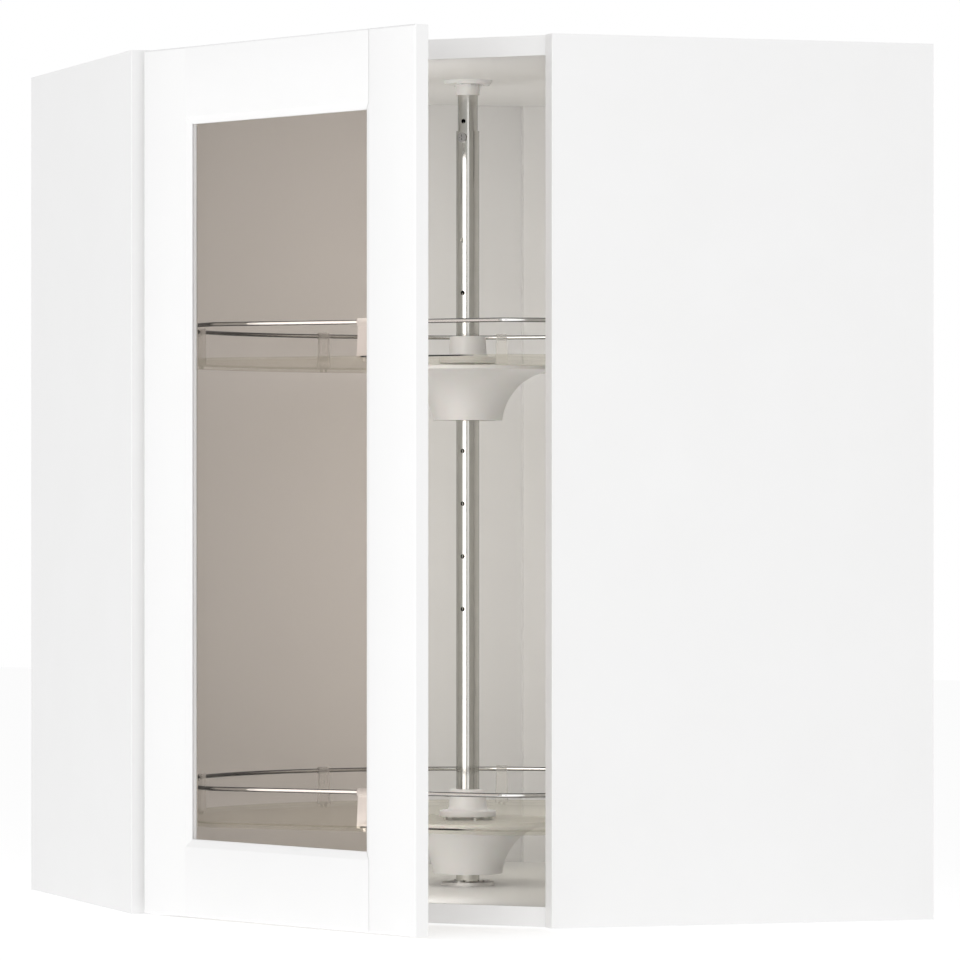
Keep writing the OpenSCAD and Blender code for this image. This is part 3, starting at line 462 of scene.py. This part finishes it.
# A rail: a wire of circular section carried along the tray's outline, drawn in, at one height
def makeRail(name, z, node, body):
    v = railValues
    radius, front, corner = (trayValues[key] - v["inset"] for key in ("radius", "front", "corner"))
    outline, outward = deeOutline(radius, front, corner, *v["steps"])
    angle = np.linspace(0, 2 * math.pi, v["around"], endpoint=False)
    half = v["wire"] / 2
    flat = outline[:, None] + outward[:, None] * (half * np.cos(angle))[None, :, None]
    height = np.broadcast_to(z + v["rise"] + half * np.sin(angle), flat.shape[:2])[..., None]
    place(gridMesh(name, np.concatenate([flat, height], -1)), "chrome", body, node)


hubValues = {
    "flangeRadius": 90, "flange": 3.8, "height": 51, "flare": 52, "neck": 32.7, "wall": 2.5,
    "sleeve": 15, "sleeveDrop": 12, "bore": 11.05, "edge": 0.8, "steps": 192, "bossSteps": 128,
    "ribs": 8, "ribTurn": 22.5, "ribThickness": 2, "ribStart": 20, "ribLow": 37, "ribFrom": 97,
    "ribSink": 1,
    "bossHeight": 26, "bossTop": 17, "bossFoot": 18, "bossFlange": 27, "bossFlangeHeight": 6,
    "bossFillet": 4, "bossFlangeRound": 1.2, "bossRound": 1.5,
}


# The cone: a flange, a concave flare about a centre outside it, and a sleeve round the pole
def makeHubCone(name, z, node, body):
    v = hubValues
    floor = trayValues["floor"]
    centre = (v["neck"] + v["flare"], -v["flange"] - v["flare"])
    inner = v["flare"] + v["wall"]
    low = -v["height"]
    edge = v["edge"]

    def reach(radius, height):  # angle at which an arc about the flare's centre comes to that height
        return 180 - math.degrees(math.asin((height - centre[1]) / radius))

    outerEnd = reach(v["flare"], low + edge)
    innerEnd = reach(inner, low + edge)
    innerStart = reach(inner, -v["flange"])
    neckOut = centre[0] + v["flare"] * math.cos(math.radians(outerEnd))
    neckIn = centre[0] + inner * math.cos(math.radians(innerEnd))
    profile = np.concatenate([
        [[v["bore"], -v["sleeveDrop"]], [v["bore"], floor], [v["sleeve"], floor], [v["sleeve"], 0]],
        arcPoints((v["flangeRadius"] - edge, -edge), edge, 90, 0, 4),
        arcPoints((v["flangeRadius"] - edge, -v["flange"] + edge), edge, 0, -90, 4),
        arcPoints(centre, v["flare"], 90, outerEnd, 48),
        arcPoints((neckOut - edge, low + edge), edge, 0, -90, 5)[1:],
        arcPoints((neckIn + edge, low + edge), edge, -90, -180, 5)[:-1],
        arcPoints(centre, inner, innerEnd, innerStart, 40),
        [[v["sleeve"], -v["flange"]], [v["sleeve"], -v["sleeveDrop"]]]])
    profile[:, 1] += z
    place(turned(name, profile, v["steps"]), "white_plastic", body, node)
    # Ribs: an upright plate from the sleeve to the wall, with its edges sunk into both
    middle = v["flare"] + v["wall"] / 2
    sink = v["ribSink"]
    plate = np.concatenate([
        arcPoints(centre, middle, reach(middle, -v["ribLow"]), v["ribFrom"], 20),
        [[v["sleeve"] - sink, sink - v["flange"]], [v["sleeve"] - sink, sink - v["sleeveDrop"]],
         [v["ribStart"], sink - v["sleeveDrop"]], [v["ribStart"], -v["ribLow"]]]])
    spots = []
    faces = []
    for k in range(v["ribs"]):
        turn = math.radians(v["ribTurn"] + 360 / v["ribs"] * k)
        for side in (-0.5, 0.5):
            off = side * v["ribThickness"]
            x = plate[:, 0] * math.cos(turn) - off * math.sin(turn)
            y = plate[:, 0] * math.sin(turn) + off * math.cos(turn)
            spots.append(np.stack([x, y, plate[:, 1] + z], -1))
        faces += gridFaces(2, len(plate), True, 2 * len(plate) * k)
    place(closedMesh(name + "Ribs", np.concatenate(spots), faces), "white_plastic", body)


# The boss on top of the tray: a flange with a fillet up to a slightly tapered barrel
def makeHubBoss(name, z, node, body):
    v = hubValues
    foot, high, fillet = v["bossFlangeHeight"], v["bossHeight"], v["bossFillet"]
    edge, flangeRound, topRound = v["edge"], v["bossFlangeRound"], v["bossRound"]
    profile = np.concatenate([
        [[v["bore"], 0]],
        arcPoints((v["bossFlange"] - edge, edge), edge, -90, 0, 4),
        arcPoints((v["bossFlange"] - flangeRound, foot - flangeRound), flangeRound, 0, 90, 6),
        arcPoints((v["bossFoot"] + fillet, foot + fillet), fillet, 270, 180, 10),
        arcPoints((v["bossTop"] - topRound, high - topRound), topRound, 0, 90, 7),
        [[v["bore"], high]]])
    profile[:, 1] += z + trayValues["floor"]
    place(turned(name, profile, v["bossSteps"]), "white_plastic", body, node)


for level, z in trayValues["undersides"].items():
    body = level + "_carousel"
    makeTray(level + "TrayPlate", z, level + "_tray", body)
    makeRail(level + "RailWire", z, level + "_rail", body)
    makeHubCone(level + "Cone", z, level + "_hub_cone", body)
    makeHubBoss(level + "Boss", z, level + "_hub_boss", body)
print("carousel made")


backValues = {  # places along the wall and from the wall corner, which lies on the axis at wallCorner
    "wallCorner": inMillimetres(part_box("top_panel")[1])[1], "from": 161.5, "to": 662.5, "seam": 625,
    "low": 12.5, "high": 787.5, "notchLow": 725, "inset": 8, "thick": 3, "softEdge": 0.15,
}


# A back panel: an L-shaped outline (along the wall, height), carried through its thickness,
# and turned from the wall corner's axes to the cabinet's
def makeBackPanel(name, node, side):
    v = backValues
    outline = np.array([(v["from"], v["low"]), (v["to"], v["low"]), (v["to"], v["notchLow"]),
                        (v["seam"], v["notchLow"]), (v["seam"], v["high"]), (v["from"], v["high"])], float)
    along, height = outline.T
    root = math.sqrt(0.5)
    rings = [np.stack([-side * root * (along - off), v["wallCorner"] - root * (along + off), height], -1)
             for off in (v["inset"], v["inset"] + v["thick"])]
    mesh = gridMesh(name, np.stack(rings), ends=True)
    place(softened(mesh, v["softEdge"] * mm), "back_board", "carcass", node)


doorHinge = next(joint for joint in frame["joints"] if joint["name"] == "door_hinge")
pinX, pinY = inMillimetres(doorHinge["pos_m"])[:2]
doorLow, doorHigh = (inMillimetres(corner)[2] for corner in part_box("left_stile"))
doorValues = {  # the closed door, measured from the hinge pins; it stands open by restOpen degrees
    "halfWidth": 8.5 - pinX, "low": doorLow, "high": doorHigh, "front": pinY - 10.2, "thick": 16,
    "face": 64, "bevel": 7, "bevelDepth": 3, "groove": 2.2, "grooveEnd": 4.3,
    "lip": 7.6, "rebate": 10, "edgeRound": 2, "backChamfer": 1.2,
    "pin": (pinX, pinY), "restOpen": -doorHinge["range_deg"][0],
    "cups": (96, 704), "cupX": pinX + 12, "cupRadius": 17.55, "cupDepth": 12.6, "cupOver": 1,
    "cupSteps": 96, "softEdge": 0.45, "rightJoint": 0.6,
}


# Turns points of the closed door to its place at rest, about the hinge pins
def doorAtRest(points):
    v = doorValues
    turn = -math.radians(v["restOpen"])
    x, y = points[..., 0] - v["pin"][0], points[..., 1] - v["pin"][1]
    return np.stack([v["pin"][0] + x * math.cos(turn) - y * math.sin(turn),
                     v["pin"][1] + x * math.sin(turn) + y * math.cos(turn), points[..., 2]], -1)


# A bar as a stack of rectangles, one at each depth behind the door's front face:
# the two outer sides draw in at the rounded front edge and at the chamfer on the back,
# the inner side follows the shallow bevel, a fine groove, the upright edge beside the glass and the rebate
def barLayers():
    v = doorValues
    angle = np.radians(np.linspace(0, 90, 6))
    edge = v["edgeRound"] * np.stack([1 - np.cos(angle), 1 - np.sin(angle)], -1)
    sight = v["face"] + v["bevel"]
    layers = [(depth, outer, v["face"] + depth * v["bevel"] / v["bevelDepth"]) for depth, outer in edge]
    layers += [(v["bevelDepth"], 0, sight), (v["bevelDepth"], 0, sight - v["groove"]),
               (v["grooveEnd"], 0, sight - v["groove"]), (v["grooveEnd"], 0, sight),
               (v["lip"], 0, sight), (v["lip"], 0, sight - v["rebate"]),
               (v["thick"] - v["backChamfer"], 0, sight - v["rebate"]),
               (v["thick"], v["backChamfer"], sight - v["rebate"])]
    return np.array(layers)


# corners: for each layer the rectangle (x0, x1, z0, z1); the layers are joined and closed at both ends
def layeredBar(name, corners, depths):
    x0, x1, z0, z1 = corners.T
    y = doorValues["front"] + depths
    rings = np.stack([np.stack([x0, y, z0], -1), np.stack([x1, y, z0], -1),
                      np.stack([x1, y, z1], -1), np.stack([x0, y, z1], -1)], 1)
    return gridMesh(name, doorAtRest(rings), ends=True)


# Softens the edges of a board or bar with a small bevel, and bores it where cutters are given
def softened(mesh, width, cutters=()):
    carrier = bpy.data.objects.new("carrier", mesh)
    bpy.context.scene.collection.objects.link(carrier)
    for cutter in cutters:
        cut = carrier.modifiers.new("bore", "BOOLEAN")
        cut.object = cutter
        cut.solver = "EXACT"
    edge = carrier.modifiers.new("softEdge", "BEVEL")
    edge.width = width
    edge.segments = edgeValues["bevelSteps"]
    edge.limit_method = "ANGLE"
    edge.angle_limit = math.radians(edgeValues["bevelFrom"])
    result = bpy.data.meshes.new_from_object(carrier.evaluated_get(bpy.context.evaluated_depsgraph_get()))
    result.name = mesh.name
    bpy.data.objects.remove(carrier)
    for cutter in cutters:
        bpy.data.objects.remove(cutter)
    return result


# A plain round cutter for a hinge cup, which starts a little behind the door's back face
def cupCutter(z):
    v = doorValues
    angle = np.linspace(0, 2 * math.pi, v["cupSteps"], endpoint=False)
    back = v["front"] + v["thick"]
    rings = [np.stack([v["cupX"] + v["cupRadius"] * np.cos(angle), 0 * angle + back - depth,
                       z + v["cupRadius"] * np.sin(angle)], -1) for depth in (-v["cupOver"], v["cupDepth"])]
    cutter = bpy.data.objects.new("cutter", gridMesh("cutter", doorAtRest(np.stack(rings)), ends=True))
    bpy.context.scene.collection.objects.link(cutter)
    return cutter


# The four bars: the stiles run the full height, the rails between them
def makeDoorFrame():
    v = doorValues
    depths, outer, inner = barLayers().T
    half, low, high = v["halfWidth"], v["low"], v["high"]
    left = np.stack([outer - half, inner - half, low + outer, high - outer], -1)
    right = np.stack([half - inner, half - outer, low + outer, high - outer], -1)
    railEnd = half - inner - v["rightJoint"]  # the open joint that shows as a fine line
    bottom = np.stack([inner - half, railEnd, low + outer, low + inner], -1)
    top = np.stack([inner - half, railEnd, high - inner, high - outer], -1)
    cutters = [cupCutter(z) for z in v["cups"]]
    bars = [("leftStileBar", "left_stile", left, cutters), ("rightStileBar", "right_stile", right, ()),
            ("bottomRailBar", "bottom_rail", bottom, ()), ("topRailBar", "top_rail", top, ())]
    for name, node, corners, cutting in bars:
        mesh = softened(layeredBar(name, corners, depths), v["softEdge"] * mm, cutting)
        place(mesh, "white_door", "door", node)


beadValues = {
    "section": [(61.05, 12.1), (65.4, 12.1), (65.2, 12.7), (62.0, 15.7), (61.05, 15.9)], "mitreGap": 0.05,
}


# The glazing beads: four mitred strips behind the glass, each a section (distance in from the
# door's edge, depth) carried from corner to corner
def makeBeads():
    v = beadValues
    half, low, high, front = (doorValues[key] for key in ("halfWidth", "low", "high", "front"))
    inset, depth = np.array(v["section"]).T
    corners = [(-half + inset, low + inset), (half - inset, low + inset),
               (half - inset, high - inset), (-half + inset, high - inset)]
    spots = []
    faces = []
    for k in range(len(corners)):
        start, end = np.array(corners[k]), np.array(corners[(k + 1) % len(corners)])
        along = (end - start)[:, :1] / np.linalg.norm((end - start)[:, :1])
        for x, z in (start + along * v["mitreGap"], end - along * v["mitreGap"]):
            spots.append(doorAtRest(np.stack([x, front + depth, z], -1)))
        faces += gridFaces(2, len(inset), True, 2 * len(inset) * k)
    place(closedMesh("beadStrips", np.concatenate(spots), faces), "ivory_plastic", "door", "glass_beads")


makeDoorFrame()
makeBeads()
makeBackPanel("leftBackBoard", "left_back_panel", 1)
makeBackPanel("rightBackBoard", "right_back_panel", -1)
print("door frame and back panels made")


roomValues = {
    "floorHeight": -0.0012, "floorSize": 14.0, "floorTone": 0.9, "floorGlow": 0.40,
    "world": 0.63,  # strength that lights the scene; the camera, mirrors and glass see it at 1
    "studio": [  # place, size and power of the soft lamps in the room, all turned to the cabinet
        ("frontSoftbox", (0.25, -3.4, 0.6), (2.2, 2.0), 25.0),
        ("rightSoftbox", (2.6, -2.2, 0.8), (1.6, 1.8), 5.6),
        ("leftSoftbox", (-2.8, -2.0, 0.8), (1.6, 1.8), 3.0),
    ],
    "studioTarget": (0, -0.2, 0.4),
    # place, target, size and power of the daylight behind the door's glass, which the pole and the wires
    # mirror; it lights nothing else
    "pane": ("paneGlow", (-0.036, -0.25, 0.40), (-0.036, 0.2, 0.40), (0.17, 0.65), 0.45),
    "insideTint": (1.0, 0.974, 0.944),
    "inside": [  # place, target, size and power of the light that the white boards throw back and forth
        ("doorBounceHigh", (-0.03, -0.25, 0.655), (-0.03, 0.2, 0.665), (0.26, 0.18), 0.20),
        ("doorBounceLow", (-0.03, -0.25, 0.32), (-0.03, 0.2, 0.32), (0.26, 0.32), 0.43),
        ("floorBounce", (-0.02, -0.25, 0.056), (-0.02, 0.2, 0.045), (0.26, 0.03), 0.12),
        ("underTray", (0.0, -0.02, 0.074), (0.0, -0.02, 0.0), (0.34, 0.40), 0.045),
        ("overTray", (-0.05, 0.02, 0.13), (-0.05, 0.02, 0.0), (0.34, 0.34), 0.06),
        ("upperBounce", (0.0, 0.05, 0.595), (0.0, 0.4, 0.67), (0.26, 0.18), 0.14),
        ("middleBounce", (0.0, 0.05, 0.27), (0.0, 0.4, 0.27), (0.26, 0.34), 0.188),
    ],
}


# A pale floor that glows a little, and a white world;
# strength = world + (1 - world) * (camera + the larger of glossy and transmission, held in 0 to 1)
def makeRoom():
    v = roomValues
    half = v["floorSize"] / 2
    mesh = bpy.data.meshes.new("floor")
    mesh.from_pydata([(-half, -half, v["floorHeight"]), (half, -half, v["floorHeight"]),
                      (half, half, v["floorHeight"]), (-half, half, v["floorHeight"])], [], [(0, 1, 2, 3)])
    floor = bpy.data.objects.new("floor", mesh)
    bpy.context.scene.collection.objects.link(floor)
    f = Finish("paleFloor")
    paint = f.node("ShaderNodeBsdfDiffuse", {}, {"Color": grey(v["floorTone"])})
    glow = f.node("ShaderNodeEmission", {}, {"Color": grey(1.0), "Strength": v["floorGlow"]})
    mesh.materials.append(f.output(f.node("ShaderNodeAddShader", {}, {0: paint, 1: glow})))

    f = Finish("studio", "World")
    camera, glossy, through = (f.node("ShaderNodeLightPath", result="Is %s Ray" % ray)
                               for ray in ("Camera", "Glossy", "Transmission"))
    strength = v["world"] + (1 - v["world"]) * (camera + glossy.largest(through)).kept()
    white = f.node("ShaderNodeBackground", {}, {"Color": grey(1.0), "Strength": strength})
    bpy.context.scene.world = f.output(white)


# A soft rectangular lamp at a place, turned to face a target
def makeLamp(name, spot, target, size, power):
    light = bpy.data.lights.new(name, "AREA")
    light.shape = "RECTANGLE"
    light.size, light.size_y = size
    light.energy = power
    lamp = bpy.data.objects.new(name, light)
    bpy.context.scene.collection.objects.link(lamp)
    lamp.location = spot
    away = np.array(target) - np.array(spot)
    flat = math.hypot(away[0], away[1])
    lamp.rotation_euler = (math.atan2(flat, -away[2]), 0, math.atan2(-away[0], away[1]))
    lamp.visible_camera = False
    return lamp


makeRoom()
for name, spot, size, power in roomValues["studio"]:
    makeLamp(name, spot, roomValues["studioTarget"], size, power)
mirrored = makeLamp(*roomValues["pane"])
mirrored.visible_diffuse = False
mirrored.visible_transmission = False
for name, spot, target, size, power in roomValues["inside"]:
    lamp = makeLamp(name, spot, target, size, power)
    lamp.data.color = roomValues["insideTint"]
    lamp.visible_glossy = False
    lamp.visible_transmission = False


# Level camera with a long lens, turned towards the right side; the horizon lies below the middle.
# "focal" and "horizon" are in pixels of the square picture, the sensor is in millimetres
cameraValues = {
    "turn": 26.1708, "place": (2.46404, -4.98767, 0.3749), "focal": 5853.22, "horizon": 509.08,
    "picture": 960, "sensor": 36, "reach": 60,
}


def makeCamera():
    v = cameraValues
    data = bpy.data.cameras.new("photoCamera")
    data.sensor_width = v["sensor"]
    data.lens = v["focal"] / v["picture"] * v["sensor"]
    data.shift_y = (v["horizon"] - v["picture"] / 2) / v["picture"]
    data.clip_end = v["reach"]
    camera = bpy.data.objects.new("photoCamera", data)
    bpy.context.scene.collection.objects.link(camera)
    camera.location = v["place"]
    camera.rotation_euler = (math.pi / 2, 0, math.radians(v["turn"]))
    bpy.context.scene.camera = camera


makeCamera()
bpy.context.scene.view_settings.view_transform = "Standard"
print("room, lamps and camera made")
